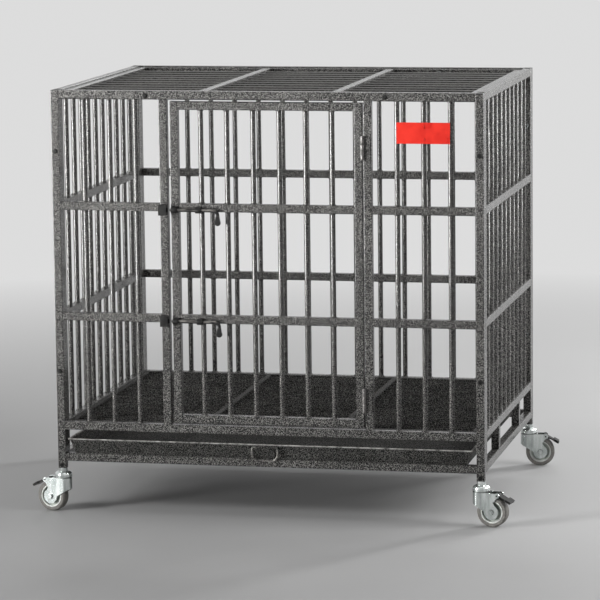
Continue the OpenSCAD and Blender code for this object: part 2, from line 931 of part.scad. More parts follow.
// Half of the ring handle, from the middle of its grip to the middle of its upper side
module half_ring() {
  leg_x = ring_w / 2;
  rotate([0, 90, 0]) cylinder(d = ring_wire_d, h = leg_x - ring_top_r);
  translate([leg_x - ring_top_r, 0, -ring_top_r]) wire_bend(ring_top_r);
  translate([0, 0, -ring_drop]) {
    translate([leg_x, 0, ring_foot_r]) cylinder(d = ring_wire_d, h = ring_drop - ring_foot_r - ring_top_r);
    translate([leg_x - ring_foot_r, 0, ring_foot_r]) mirror([0, 0, 1]) wire_bend(ring_foot_r);
    rotate([0, 90, 0]) cylinder(d = ring_wire_d, h = leg_x - ring_foot_r);
  }
}

module tray_handle() {
  color(zinc)
    translate([ring_offset, ring_y, ring_z]) {
      half_ring();
      mirror([1, 0, 0]) half_ring();
    }
}

// A child on a post's axis at the floor, turned so that its wheel trails along +X
module at_caster(x, y, yaw) {
  translate([x * post_x, y * post_y, 0]) rotate([0, 0, yaw]) children();
}

// Plan of the bent fork sheet: a half ring round the nose, and two straight legs
module fork_plan() {
  leg_run = fork_nose + brake_x + brake_ear_r + overrun;
  translate([-fork_nose, 0])
    difference() {
      union() {
        circle(d = fork_w);
        translate([0, -fork_w / 2]) square([leg_run, fork_w]);
      }
      circle(r = leg_y);
      translate([0, -leg_y]) square([leg_run + overrun, 2 * leg_y]);
    }
}

// Side outline of the fork sheet, with eyes for the axle and the brake pivot
module leg_outline() {
  foot = leg_foot_share * eye_r;
  nose_x = fork_nose + fork_w / 2 + overrun;
  translate([trail, axle_z]) circle(r = eye_r);
  polygon([[-nose_x, sheet_top], [crown_reach, sheet_top], [trail + foot, axle_z], [trail - foot, axle_z],
    [-nose_x, apron_z]]);
  translate([brake_x, brake_z]) circle(r = brake_ear_r);
  polygon([[0, sheet_top], [brake_x, sheet_top], [brake_x, brake_z - brake_ear_r], [trail, axle_z + eye_r]]);
}

// Plate that closes the top of the fork, with its edge inside the bent sheet
module fork_crown() {
  half = leg_y + leg_t / 2;
  translate([-fork_nose, 0, crown_z])
    linear_extrude(height = crown_t) {
      circle(r = half);
      translate([0, -half]) square([fork_nose + crown_reach, 2 * half]);
    }
}

module fork() {
  color(zinc)
    difference() {
      union() {
        fork_crown();
        translate([0, 0, crown_top]) cylinder(r = boss_r, h = boss_h);
        intersection() {
          linear_extrude(height = boss_top) fork_plan();
          rotate([90, 0, 0]) linear_extrude(height = fork_w + 2 * overrun, center = true) leg_outline();
        }
      }
      translate([0, 0, crown_z - overrun])
        cylinder(d = stem_d + 2 * run_clear, h = crown_t + boss_h + 2 * overrun);
      translate([trail, 0, axle_z])
        rotate([90, 0, 0]) cylinder(d = axle_d + 2 * run_clear, h = fork_w + 2 * overrun, center = true);
      translate([brake_x, 0, brake_z])
        rotate([90, 0, 0]) cylinder(d = brake_pin_d + 2 * run_clear, h = fork_w + 2 * overrun, center = true);
    }
}

// Hexagon bolt through the fork, with its nut
module axle() {
  bolt_run = fork_w + axle_head_h + bolt_end;
  color(zinc)
    translate([trail, 0, axle_z])
      rotate([90, 0, 0])
        translate([0, 0, -fork_w / 2]) {
          cylinder(d = axle_d, h = bolt_run);
          translate([0, 0, -axle_head_h]) cylinder(d = axle_head_d, h = axle_head_h, $fn = 6);
          translate([0, 0, fork_w])
            difference() {
              cylinder(d = axle_head_d, h = axle_head_h, $fn = 6);
              translate([0, 0, -overrun])
                cylinder(d = axle_d + 2 * run_clear, h = axle_head_h + 2 * overrun);
            }
        }
}

// Child turned about the axle, drawn about Z
module on_axle() {
  translate([trail, 0, axle_z]) rotate([90, 0, 0]) children();
}

// Hub, web and rim of the wheel
module wheel_core() {
  bore_r = axle_d / 2 + run_clear;
  rim_out = wheel_d / 2 - tyre_t;
  rim_in = rim_out - rim_t;
  color(plastic)
    on_axle()
      rotate_extrude()
        polygon([[bore_r, -hub_w / 2], [hub_r, -hub_w / 2], [hub_r, -web_t / 2], [rim_in, -web_t / 2],
          [rim_in, -rim_w / 2], [rim_out, -rim_w / 2], [rim_out, rim_w / 2], [rim_in, rim_w / 2],
          [rim_in, web_t / 2], [hub_r, web_t / 2], [hub_r, hub_w / 2], [bore_r, hub_w / 2]]);
}

module tyre() {
  out_r = wheel_d / 2;
  in_r = out_r - tyre_t;
  half = tread_w / 2;
  color(rubber)
    on_axle()
      rotate_extrude()
        polygon([[in_r, -half], [out_r - tyre_edge, -half], [out_r, tyre_edge - half],
          [out_r, half - tyre_edge], [out_r - tyre_edge, half], [in_r, half]]);
}

// Lever on its pivot pin, with a shoe above the tyre and a pedal at its end
module brake() {
  color(dark)
    translate([brake_x, 0, brake_z]) rotate([0, brake_tilt, 0]) {
      rotate([90, 0, 0]) cylinder(d = brake_pin_d, h = fork_w, center = true);
      rotate([90, 0, 0]) cylinder(r = brake_hub_r, h = brake_w, center = true);
      translate([0, -brake_w / 2, 0]) cube([brake_len, brake_w, brake_plate_t]);
      translate([brake_len - pedal_len, -pedal_w / 2, 0]) cube([pedal_len, pedal_w, pedal_t]);
      translate([shoe_start, -shoe_w / 2, -shoe_drop]) cube([shoe_len, shoe_w, shoe_drop]);
    }
}

posts(-1);  // front_posts
posts(1);  // back_posts
front_rails();
door_jambs();
front_mid_rails();
front_bars();
back_rails();
back_bars();
side_panel_frame(-1);  // left_panel_frame
side_panel_bars(-1);  // left_panel_bars
side_panel_frame(1);  // right_panel_frame
side_panel_bars(1);  // right_panel_bars
top_panel_frame();
top_panel_bars();
floor_grate_frame();
floor_grate_rods();
grate_ledges();
tray_runners();
panel_bolts();
panel_nuts();
post_plugs();
stem_sockets();
stem_screws();
caster_stems();
swivel_washers();
jamb_hinge_leaves();
hinge_pins();
bolt_keepers();
front_plate();
plate_rivets();
door_frame();
door_bars();
door_hinge_leaves();
bolt_guides();
slide_bolt(latch_levels[1]);  // upper_bolt
slide_bolt(latch_levels[0]);  // lower_bolt
tray_pan();
handle_strap();
tray_handle();
at_caster(-1, -1, front_left_yaw) fork();  // front_left_fork
at_caster(-1, -1, front_left_yaw) axle();  // front_left_axle
at_caster(-1, -1, front_left_yaw) wheel_core();  // front_left_core
at_caster(-1, -1, front_left_yaw) tyre();  // front_left_tyre
at_caster(-1, -1, front_left_yaw) brake();  // front_left_brake
at_caster(1, -1, front_right_yaw) fork();  // front_right_fork
at_caster(1, -1, front_right_yaw) axle();  // front_right_axle
at_caster(1, -1, front_right_yaw) wheel_core();  // front_right_core
at_caster(1, -1, front_right_yaw) tyre();  // front_right_tyre
at_caster(1, -1, front_right_yaw) brake();  // front_right_brake
at_caster(-1, 1, back_left_yaw) fork();  // back_left_fork
at_caster(-1, 1, back_left_yaw) axle();  // back_left_axle
at_caster(-1, 1, back_left_yaw) wheel_core();  // back_left_core
at_caster(-1, 1, back_left_yaw) tyre();  // back_left_tyre
at_caster(-1, 1, back_left_yaw) brake();  // back_left_brake
at_caster(1, 1, back_right_yaw) fork();  // back_right_fork
at_caster(1, 1, back_right_yaw) axle();  // back_right_axle
at_caster(1, 1, back_right_yaw) wheel_core();  // back_right_core
at_caster(1, 1, back_right_yaw) tyre();  // back_right_tyre
at_caster(1, 1, back_right_yaw) brake();  // back_right_brake
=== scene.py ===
"""Looks of a heavy duty dog crate: hammertone coat, dark fittings, zinc, rubber and a plain red plate."""

import json
import math

import bmesh
import bpy
from mathutils import Matrix, Vector


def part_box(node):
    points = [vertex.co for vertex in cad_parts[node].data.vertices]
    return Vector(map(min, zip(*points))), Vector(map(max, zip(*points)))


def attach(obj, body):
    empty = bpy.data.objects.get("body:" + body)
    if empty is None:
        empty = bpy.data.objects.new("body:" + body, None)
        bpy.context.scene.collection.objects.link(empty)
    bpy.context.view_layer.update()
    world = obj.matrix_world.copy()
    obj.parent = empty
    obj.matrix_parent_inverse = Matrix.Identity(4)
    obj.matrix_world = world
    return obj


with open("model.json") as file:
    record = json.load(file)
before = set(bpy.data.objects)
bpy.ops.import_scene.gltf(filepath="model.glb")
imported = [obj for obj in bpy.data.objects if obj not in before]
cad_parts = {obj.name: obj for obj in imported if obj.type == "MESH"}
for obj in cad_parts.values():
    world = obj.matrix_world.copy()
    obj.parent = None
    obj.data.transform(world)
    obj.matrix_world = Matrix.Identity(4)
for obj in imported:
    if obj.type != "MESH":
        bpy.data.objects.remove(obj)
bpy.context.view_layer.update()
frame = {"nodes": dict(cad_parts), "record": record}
nodes = frame["nodes"]

# Camera of the photograph: place in metres, turns in radians, focal length and sensor in millimetres
CAMERA_PLACE = (1.83273, -8.1965, 1.73139)
CAMERA_YAW = 0.2204
CAMERA_PITCH = -0.1474
CAMERA_ROLL = -0.0116
CAMERA_LENS = 200.43
CAMERA_SENSOR = 36.0

# Studio floor, and how far from its middle it starts and ends to fade into the backdrop, in metres
FLOOR_RADIUS = 60.0
FLOOR_CORNERS = 96
FADE_START = 1.1
FADE_END = 4.0

# Light from all round, as a share of the backdrop's own
AMBIENT_LEVEL = 0.12

# Points that the lamps aim at, in metres
CRATE_MIDDLE = (0.0, 0.0, 0.65)
TOP_PANEL = (0.0, 0.0, 1.0)
RIGHT_PANEL = (0.5, 0.0, 0.7)
LEFT_CORNER = (-0.6, -0.4, 1.0)
FRONT_BARS = (0.1, -0.4, 1.1)

# Weld beads: sizes in metres, then the bulge of the profile as shares of the size
BEAD_SIZE = 0.0026
BEAD_ROOT = 0.0003
BEAD_STEPS = 20
BEAD_BULGE_OUT = 0.62
BEAD_BULGE_UP = 0.55

# Unevenness of the beads: waves in one turn, their share of the size, and their shift in radians per metre
LONG_WAVES = 3.0
LONG_SHARE = 0.16
SHORT_WAVES = 7.0
SHORT_SHARE = 0.10
WAVE_SHIFT = (40.0, 68.0, 92.0)

# Rounded edges of the fittings: distances in metres, angles in degrees
EDGE_ROUNDING = 0.0006
EDGE_SEGMENTS = 2
FLAT_ANGLE = 0.5
SHARP_ANGLE = 40.0
MERGE_DISTANCE = 0.000001
SOFT_EDGED = ["bolt_keepers", "bolt_guides", "front_plate", "jamb_hinge_leaves", "door_hinge_leaves"]

# Reach of worn places, of the painted highlight on the tray's rim and of painted shade on the zinc, in
# metres
RIM_DEPTH = 0.0035
ROD_DEPTH = 0.008
KNUCKLE_REACH = 0.0055
KNUCKLE_CORE = 0.7 * KNUCKLE_REACH
SHEET_EDGE = 0.0015
STEEL_EDGE = 0.0012
SHADE_REACH = 0.012

# Whiter ring of the wheel cores, as shares of their radius
RING_START = 0.84
RING_END = 0.94

# Colours, linear
COAT_DARK = (0.004, 0.0039, 0.0037, 1.0)
COAT_LIGHT = (0.26, 0.253, 0.241, 1.0)
# Paler coat: real scuffs on the hammertone, and a painted highlight along the tray's rim; the tray's edges
# use it too
COAT_WEAR_AND_HIGHLIGHT = (0.42, 0.41, 0.39, 1.0)
# Darker flecks as painted shade on the bars of the top panel, then a painted highlight for their upper
# sides
COAT_SHADED = (0.10, 0.098, 0.093, 1.0)
BAR_TOP_HIGHLIGHT = (0.095, 0.092, 0.088, 1.0)
# Darker copy of the coat's colours, painted shade on the tray and the floor grate
SHADED_GROUND = (0.004, 0.004, 0.0038, 1.0)
SHADED_FLECK = (0.17, 0.166, 0.158, 1.0)
BLACK_STEEL = (0.008, 0.008, 0.008, 1.0)
BLACK_STEEL_DULL = (0.020, 0.020, 0.019, 1.0)
BLACK_STEEL_WORN = (0.10, 0.095, 0.085, 1.0)
RUBBED_STEEL = (0.42, 0.40, 0.37, 1.0)
KNUCKLE_STEEL = (0.15, 0.145, 0.14, 1.0)
HANDLE_STEEL = (0.085, 0.083, 0.079, 1.0)
# Dark and light streaks of the zinc, painted in to stand for reflections, then painted shade for its
# corners
ZINC_REFLECTION_DARK = (0.30, 0.335, 0.325, 1.0)
ZINC_REFLECTION_LIGHT = (0.84, 0.88, 0.86, 1.0)
ZINC_PAINTED_SHADE = (0.10, 0.105, 0.10, 1.0)
CORE_PALE = (0.44, 0.475, 0.435, 1.0)
CORE_SHADE = (0.33, 0.365, 0.335, 1.0)
CORE_RIM = (0.66, 0.68, 0.65, 1.0)
RUBBER_GREY = (0.125, 0.12, 0.11, 1.0)
RUBBER_DUST = (0.21, 0.20, 0.185, 1.0)
PLASTIC_BLACK = (0.010, 0.010, 0.010, 1.0)
PLASTIC_GREY = (0.030, 0.030, 0.029, 1.0)
RED_DEEP = (0.43, 0.010, 0.005, 1.0)
RED_BRIGHT = (0.55, 0.018, 0.008, 1.0)
FLOOR_PALE = (0.42, 0.42, 0.42, 1.0)
FLOOR_CLOUD = (0.45, 0.45, 0.45, 1.0)
BACKDROP = (0.72, 0.72, 0.72, 1.0)


def set_sockets(node, values):
    """Sets values on a node's inputs; a name is the socket's, with _ for each space."""
    for name, value in values.items():
        node.inputs[name.replace("_", " ")].default_value = value


class Shader:
    """A node material under construction, in the coordinates of the piece in metres."""

    def __init__(self, name):
        self.material = bpy.data.materials.new(name)
        self.material.use_nodes = True
        self.tree = self.material.node_tree
        self.surface = self.tree.nodes["Principled BSDF"]
        self.coords = self.add("ShaderNodeTexCoord").outputs["Object"]

    def add(self, kind, **values):
        """A new node with values on its inputs."""
        node = self.tree.nodes.new(kind)
        set_sockets(node, values)
        return node

    def link(self, source, target):
        self.tree.links.new(source, target)

    def fill(self, sockets, values):
        """Sets plain values on sockets, and links the outputs among them."""
        for socket, value in zip(sockets, values):
            if isinstance(value, (float, tuple)):
                socket.default_value = value
            else:
                self.link(value, socket)

    def set(self, **values):
        """Values that are the same all over the surface."""
        set_sockets(self.surface, values)

    def feed(self, name, source):
        """A value that varies over the surface."""
        self.link(source, self.surface.inputs[name])

    def stretched(self, scale):
        """Coordinates scaled along each axis, for grain that runs one way."""
        mapping = self.add("ShaderNodeMapping", Scale=scale)
        self.link(self.coords, mapping.inputs["Vector"])
        return mapping.outputs["Vector"]

    def noise(self, per_metre=1.0, detail=2.0, rough=0.5, coords=None):
        """Cloudy pattern between 0 and 1."""
        node = self.add("ShaderNodeTexNoise", Scale=per_metre, Detail=detail, Roughness=rough)
        self.link(coords or self.coords, node.inputs["Vector"])
        return node.outputs["Fac"]

    def cells(self, per_metre):
        """Distance to the nearest edge of a cell pattern."""
        node = self.add("ShaderNodeTexVoronoi", Scale=per_metre)
        node.feature = "DISTANCE_TO_EDGE"
        self.link(self.coords, node.inputs["Vector"])
        return node.outputs["Distance"]

    def span(self, source, low, high, to_low=0.0, to_high=1.0):
        """Source mapped from one span to another, and kept inside it."""
        node = self.add("ShaderNodeMapRange", From_Min=low, From_Max=high, To_Min=to_low, To_Max=to_high)
        self.link(source, node.inputs["Value"])
        return node.outputs["Result"]

    def between(self, amount, at_none, at_full):
        """Value that goes from one end to the other as the amount goes from 0 to 1."""
        return self.span(amount, 0.0, 1.0, at_none, at_full)

    def math(self, operation, first, second):
        """Result of an operation on two numbers or outputs."""
        node = self.add("ShaderNodeMath")
        node.operation = operation
        self.fill(node.inputs, (first, second))
        return node.outputs["Value"]

    def mix(self, amount, first, second):
        """Colour between two colours or colour outputs."""
        node = self.add("ShaderNodeMix")
        node.data_type = "RGBA"
        self.link(amount, node.inputs["Factor"])
        self.fill([socket for socket in node.inputs if socket.type == "RGBA"], (first, second))
        return [socket for socket in node.outputs if socket.type == "RGBA"][0]

    def bump(self, height, strength, distance):
        """Normal of a surface that a pattern raises."""
        node = self.add("ShaderNodeBump", Strength=strength, Distance=distance)
        self.link(height, node.inputs["Height"])
        return node.outputs["Normal"]

    def part_of(self, vector, axis):
        """One of the three numbers of a vector."""
        axes = self.add("ShaderNodeSeparateXYZ")
        self.link(vector, axes.inputs["Vector"])
        return axes.outputs[axis]

    def along(self, axis, start, end):
        """Share of the way from one place to another along an axis of the piece."""
        return self.span(self.part_of(self.coords, axis), start, end)

    def away(self, centre):
        """Distance from a point."""
        node = self.add("ShaderNodeVectorMath")
        node.operation = "DISTANCE"
        self.fill(node.inputs, (self.coords, centre))
        return node.outputs["Value"]

    def open_to_light(self, reach):
        """1 in the open, less in corners and under ledges within reach."""
        return self.add("ShaderNodeAmbientOcclusion", Distance=reach).outputs["AO"]

    def facing_up(self):
        """1 on level tops, 0 on upright sides, less below."""
        return self.part_of(self.add("ShaderNodeNewGeometry").outputs["Normal"], "Z")

    def edges(self, radius):
        """How far a point is turned away by rounding the edges near it: 0 on flats, more at edges."""
        rounded = self.add("ShaderNodeBevel", Radius=radius)
        flat = self.add("ShaderNodeNewGeometry")
        dot = self.add("ShaderNodeVectorMath")
        dot.operation = "DOT_PRODUCT"
        self.fill(dot.inputs, (rounded.outputs["Normal"], flat.outputs["Normal"]))
        return self.math("SUBTRACT", 1.0, dot.outputs["Value"])


def hammertone(name, dark, light):
    """Dark powder coat with raised flecks of lighter grey; returns its shader, flecks and colour."""
    s = Shader(name)
    island = s.span(s.cells(per_metre=480.0), 0.02, 0.20)
    fleck = s.noise(per_metre=450.0, rough=0.6)
    wash = s.noise(per_metre=7.0)
    mottle = s.math("MULTIPLY", island, s.span(fleck, 0.47, 0.58))
    coat = s.mix(mottle, dark, light)
    scuff = s.math("MULTIPLY", s.span(wash, 0.52, 0.70, 0.0, 0.30), mottle)
    s.feed("Normal", s.bump(mottle, strength=0.18, distance=0.0007))
    return s, mottle, s.mix(scuff, coat, COAT_WEAR_AND_HIGHLIGHT)


def shine(s, flecks, metallic, dull, glossy):
    """Metal and gloss on the flecks of a coat, with a duller ground between them."""
    s.feed("Metallic", s.between(flecks, 0.0, metallic))
    s.feed("Roughness", s.between(flecks, dull, glossy))
    s.set(Specular_IOR_Level=0.10)


def frame_coat():
    """The glossy hammertone coat of the frame and the door."""
    s, flecks, coat = hammertone("hammertone_coat", COAT_DARK, COAT_LIGHT)
    s.feed("Base Color", coat)
    shine(s, flecks, metallic=0.30, dull=0.60, glossy=0.34)
    s.set(Coat_Weight=0.65, Coat_Roughness=0.15)
    return s.material


def shaded_bar_coat():
    """A hammertone coat darkened as painted shade for the bars of the top panel, with a painted highlight
    along their upper sides.
    """
    s, flecks, coat = hammertone("shaded_bar_coat", COAT_DARK, COAT_SHADED)
    # Painted highlight along the upper sides of the bars
    dust = s.span(s.facing_up(), 0.60, 0.85)
    s.feed("Base Color", s.mix(dust, coat, BAR_TOP_HIGHLIGHT))
    shine(s, flecks, metallic=0.20, dull=0.65, glossy=0.45)
    s.set(Coat_Weight=0.45, Coat_Roughness=0.20)
    return s.material


def shaded_grate_coat():
    """A hammertone coat for the floor grate, darkened as painted shade and dulled by paws and washing."""
    # Darker flecks as painted shade on the grate
    s, flecks, coat = hammertone("shaded_grate_coat", COAT_DARK, SHADED_FLECK)
    s.feed("Base Color", coat)
    shine(s, flecks, metallic=0.35, dull=0.75, glossy=0.55)
    return s.material


def hinge_coat():
    """The coat of the frame, worn to bare steel on the knuckles round the hinge pins."""
    s, _, coat = hammertone("hinge_coat", COAT_DARK, COAT_LIGHT)
    low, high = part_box("hinge_pins")
    pin = (low[0] + high[0]) / 2.0
    left_side = s.along("X", pin - KNUCKLE_REACH, pin - KNUCKLE_CORE)
    right_side = s.along("X", pin + KNUCKLE_REACH, pin + KNUCKLE_CORE)
    knuckle = s.math("MULTIPLY", left_side, right_side)
    patches = s.span(s.noise(per_metre=140.0, detail=3.0, rough=0.6), 0.34, 0.58)
    worn = s.math("MULTIPLY", knuckle, patches)
    s.feed("Base Color", s.mix(worn, coat, KNUCKLE_STEEL))
    s.feed("Metallic", s.between(worn, 0.20, 0.80))
    s.feed("Roughness", s.between(worn, 0.55, 0.40))
    s.set(Specular_IOR_Level=0.20, Coat_Weight=0.30, Coat_Roughness=0.20)
    return s.material


def shaded_tray_coat():
    """A dull hammertone coat for the tray, darkened as painted shade, with a painted highlight along its
    rim and lighter on its other edges.
    """
    # Darker coat as painted shade on the tray
    s, flecks, coat = hammertone("shaded_tray_coat", SHADED_GROUND, SHADED_FLECK)
    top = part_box("tray_pan")[1][2]
    # Painted highlight along the rim, in patches
    rim = s.along("Z", top - RIM_DEPTH, top)
    patches = s.span(s.noise(per_metre=90.0, detail=3.0, rough=0.6), 0.30, 0.60)
    rubbed = s.math("MULTIPLY", rim, patches)
    edges = s.span(s.edges(SHEET_EDGE), 0.02, 0.30, 0.0, 0.45)
    s.feed("Base Color", s.mix(s.math("MAXIMUM", rubbed, edges), coat, COAT_WEAR_AND_HIGHLIGHT))
    shine(s, flecks, metallic=0.30, dull=0.78, glossy=0.64)
    return s.material


def black_steel():
    """Satin black paint with rubbed edges."""
    s = Shader("black_steel")
    peel = s.noise(per_metre=700.0)
    smear = s.noise(per_metre=90.0, detail=3.0, rough=0.6)
    worn = s.math("MULTIPLY", s.span(s.edges(STEEL_EDGE), 0.02, 0.25), s.span(smear, 0.42, 0.62))
    paint = s.mix(s.span(smear, 0.35, 0.75), BLACK_STEEL, BLACK_STEEL_DULL)
    s.feed("Base Color", s.mix(worn, paint, BLACK_STEEL_WORN))
    s.feed("Roughness", s.span(smear, 0.3, 0.7, 0.30, 0.48))
    s.feed("Metallic", s.between(worn, 0.0, 0.8))
    s.feed("Normal", s.bump(peel, strength=0.12, distance=0.0003))
    s.set(Specular_IOR_Level=0.12)
    return s.material


def rubbed_bolt(node):
    """Black slide bolt that its guides have rubbed bright in streaks, with worn paddle edges."""
    s = Shader(node + "_steel")
    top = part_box(node)[1][2]
    rod = s.along("Z", top - ROD_DEPTH, top)
    streak = s.noise(detail=4.0, rough=0.6, coords=s.stretched((18.0, 520.0, 520.0)))
    smear = s.noise(per_metre=120.0, detail=3.0, rough=0.6)
    uneven = s.math("ADD", streak, s.math("MULTIPLY", smear, 0.4))
    rubbed = s.math("MULTIPLY", rod, s.span(uneven, 0.66, 0.92))
    edges = s.span(s.edges(STEEL_EDGE), 0.02, 0.25, 0.0, 0.6)
    bright = s.math("MAXIMUM", rubbed, edges)
    s.feed("Base Color", s.mix(bright, BLACK_STEEL, RUBBED_STEEL))
    s.feed("Metallic", bright)
    s.feed("Roughness", s.span(streak, 0.3, 0.7, 0.26, 0.44))
    s.feed("Normal", s.bump(smear, strength=0.08, distance=0.0003))
    s.set(Specular_IOR_Level=0.20)
    return s.material


def handle_steel():
    """Steel wire gone grey, brighter in the patches where it has been rubbed."""
    s = Shader("handle_steel")
    smear = s.noise(per_metre=160.0, detail=3.0, rough=0.6)
    s.feed("Base Color", s.mix(s.span(smear, 0.46, 0.70), HANDLE_STEEL, RUBBED_STEEL))
    s.feed("Roughness", s.span(smear, 0.3, 0.7, 0.42, 0.24))
    s.feed("Normal", s.bump(smear, strength=0.08, distance=0.0003))
    s.set(Metallic=0.9)
    return s.material


def zinc():
    """Bright zinc plate with light and dark streaks painted in as reflections, fine rolling lines and
    painted shade in its corners.
    """
    s = Shader("zinc_plate")
    # Light and dark streaks painted into the zinc's colour as reflections
    cloud = s.noise(coords=s.stretched((75.0, 75.0, 16.0)))
    grain = s.noise(detail=3.0, rough=0.6, coords=s.stretched((300.0, 300.0, 2600.0)))
    tone = s.math("ADD", s.math("MULTIPLY", cloud, 0.8), s.math("MULTIPLY", grain, 0.2))
    plate = s.mix(s.span(tone, 0.32, 0.68), ZINC_REFLECTION_DARK, ZINC_REFLECTION_LIGHT)
    # Painted shade: darker in the corners and crevices of the zinc parts
    unshaded = s.span(s.open_to_light(SHADE_REACH), 0.35, 0.85)
    s.feed("Base Color", s.mix(unshaded, ZINC_PAINTED_SHADE, plate))
    s.feed("Roughness", s.span(tone, 0.3, 0.7, 0.24, 0.15))
    s.feed("Normal", s.bump(grain, strength=0.06, distance=0.0002))
    s.set(Metallic=0.85)
    return s.material


def wheel_plastic(node):
    """Pale moulded core with a soft sheen, and a whiter ring near its rim."""
    s = Shader(node + "_plastic")
    low, high = (Vector(corner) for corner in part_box(node))
    radius = (high.z - low.z) / 2.0
    cloud = s.noise(per_metre=70.0, detail=3.0)
    fine = s.noise(per_metre=1500.0)
    moulded = s.mix(s.span(cloud, 0.35, 0.65), CORE_SHADE, CORE_PALE)
    ring = s.span(s.away(tuple((low + high) / 2.0)), RING_START * radius, RING_END * radius)
    s.feed("Base Color", s.mix(ring, moulded, CORE_RIM))
    s.feed("Roughness", s.span(cloud, 0.3, 0.7, 0.30, 0.42))
    s.feed("Normal", s.bump(fine, strength=0.05, distance=0.0002))
    return s.material


def rubber():
    """Matte grey tyre with floor dust in its tread."""
    s = Shader("grey_rubber")
    dust = s.noise(per_metre=120.0, detail=4.0, rough=0.6)
    pore = s.noise(per_metre=1600.0)
    s.feed("Base Color", s.mix(s.span(dust, 0.45, 0.72), RUBBER_GREY, RUBBER_DUST))
    s.feed("Roughness", s.span(dust, 0.3, 0.7, 0.62, 0.80))
    s.feed("Normal", s.bump(pore, strength=0.15, distance=0.0003))
    return s.material


def black_plastic():
    """Matte black moulding with a fine spark texture."""
    s = Shader("black_plastic")
    spark = s.noise(per_metre=1100.0, detail=3.0, rough=0.6)
    cloud = s.noise(per_metre=50.0)
    s.feed("Base Color", s.mix(s.span(cloud, 0.3, 0.7), PLASTIC_BLACK, PLASTIC_GREY))
    s.feed("Roughness", s.span(spark, 0.3, 0.7, 0.45, 0.62))
    s.feed("Normal", s.bump(spark, strength=0.15, distance=0.0003))
    return s.material


def red_enamel():
    """Plain red enamel with slight waviness and dulled patches."""
    s = Shader("red_enamel")
    wave = s.noise(per_metre=35.0)
    peel = s.noise(per_metre=420.0)
    s.feed("Base Color", s.mix(s.span(wave, 0.35, 0.65), RED_DEEP, RED_BRIGHT))
    s.feed("Roughness", s.span(wave, 0.3, 0.7, 0.24, 0.38))
    s.feed("Normal", s.bump(peel, strength=0.05, distance=0.0003))
    s.set(Specular_IOR_Level=0.3)
    return s.material


def dress_nodes():
    """Gives every node its own material or that of its slot in the record; returns the frame's coat."""
    hinge = hinge_coat()
    grate = shaded_grate_coat()
    sheet = shaded_tray_coat()
    by_slot = {
        "coat": frame_coat(),
        "dark_steel": black_steel(),
        "zinc": zinc(),
        "grey_rubber": rubber(),
        "black_plastic": black_plastic(),
        "red_enamel": red_enamel(),
    }
    by_node = {
        "upper_bolt": rubbed_bolt("upper_bolt"),
        "lower_bolt": rubbed_bolt("lower_bolt"),
        "jamb_hinge_leaves": hinge,
        "door_hinge_leaves": hinge,
        "hinge_pins": hinge,
        # The top panel's bars get painted shade, with a painted highlight on their upper sides
        "top_panel_bars": shaded_bar_coat(),
        # The grate and the tray get coats darkened as painted shade
        "floor_grate_frame": grate,
        "floor_grate_rods": grate,
        "tray_pan": sheet,
        "handle_strap": sheet,
        "tray_handle": handle_steel(),
    }
    for part in frame["record"]["subparts"]:
        name = part["node"]
        slot = part["material_slot"]
        if slot == "wheel_plastic":
            by_node[name] = wheel_plastic(name)
        nodes[name].data.materials.clear()
        nodes[name].data.materials.append(by_node.get(name) or by_slot[slot])
    return by_slot["coat"]


def solids(node):
    """Lowest and highest corners of each separate solid of a node."""
    shape = bmesh.new()
    shape.from_mesh(nodes[node].data)
    bmesh.ops.remove_doubles(shape, verts=shape.verts, dist=MERGE_DISTANCE)
    left = set(shape.verts)
    boxes = []
    while left:
        group = []
        waiting = [left.pop()]
        while waiting:
            point = waiting.pop()
            group.append(point.co.copy())
            near = [edge.other_vert(point) for edge in point.link_edges]
            fresh = [other for other in near if other in left]
            left.difference_update(fresh)
            waiting.extend(fresh)
        low = Vector(min(p[k] for p in group) for k in range(3))
        high = Vector(max(p[k] for p in group) for k in range(3))
        boxes.append((low, high))
    shape.free()
    return sorted(boxes, key=lambda box: tuple(box[0]))


def weld_ring(shape, centre, along, radius):
    """Uneven bead round a bar, on a face that the bar leaves in the direction along."""
    side = Vector((0.0, 1.0, 0.0)) if abs(along.x) > 0.5 else Vector((1.0, 0.0, 0.0))
    across = along.cross(side)
    shift = sum(turn * place for turn, place in zip(WAVE_SHIFT, centre))
    rows = []
    for step in range(BEAD_STEPS):
        turn = 2.0 * math.pi * step / BEAD_STEPS
        long_wave = LONG_SHARE * math.sin(LONG_WAVES * turn + shift)
        short_wave = SHORT_SHARE * math.sin(SHORT_WAVES * turn + 2.0 * shift)
        size = BEAD_SIZE * (1.0 + long_wave + short_wave)
        bulge = (BEAD_BULGE_OUT * size, BEAD_BULGE_UP * size)
        profile = [(-BEAD_ROOT, 0.0), (size, 0.0), bulge, (-BEAD_ROOT, size)]
        out = side * math.cos(turn) + across * math.sin(turn)
        points = [centre + out * (radius + away) + along * up for away, up in profile]
        rows.append([shape.verts.new(point) for point in points])
    for row, after in zip(rows, rows[1:] + rows[:1]):
        for k in range(len(row)):
            shape.faces.new((row[k - 1], row[k], after[k], after[k - 1]))


def weld_bars(shape, bars, axis, rails):
    """Beads at both ends of every bar of a node, and on both faces of each rail that it crosses."""
    along = Vector(float(k == axis) for k in range(3))
    across = [k for k in range(3) if k != axis]
    crossed = [box for node in rails for box in solids(node)]
    for low, high in solids(bars):
        middle = (low + high) / 2.0
        radius = (high[across[0]] - low[across[0]]) / 2.0
        faces = [(low[axis], 1.0), (high[axis], -1.0)]
        for rail_low, rail_high in crossed:
            inside = all(rail_low[k] < middle[k] < rail_high[k] for k in across)
            if inside and low[axis] < rail_low[axis] and rail_high[axis] < high[axis]:
                faces += [(rail_low[axis], -1.0), (rail_high[axis], 1.0)]
        for level, way in faces:
            centre = middle.copy()
            centre[axis] = level
            weld_ring(shape, centre, way * along, radius)


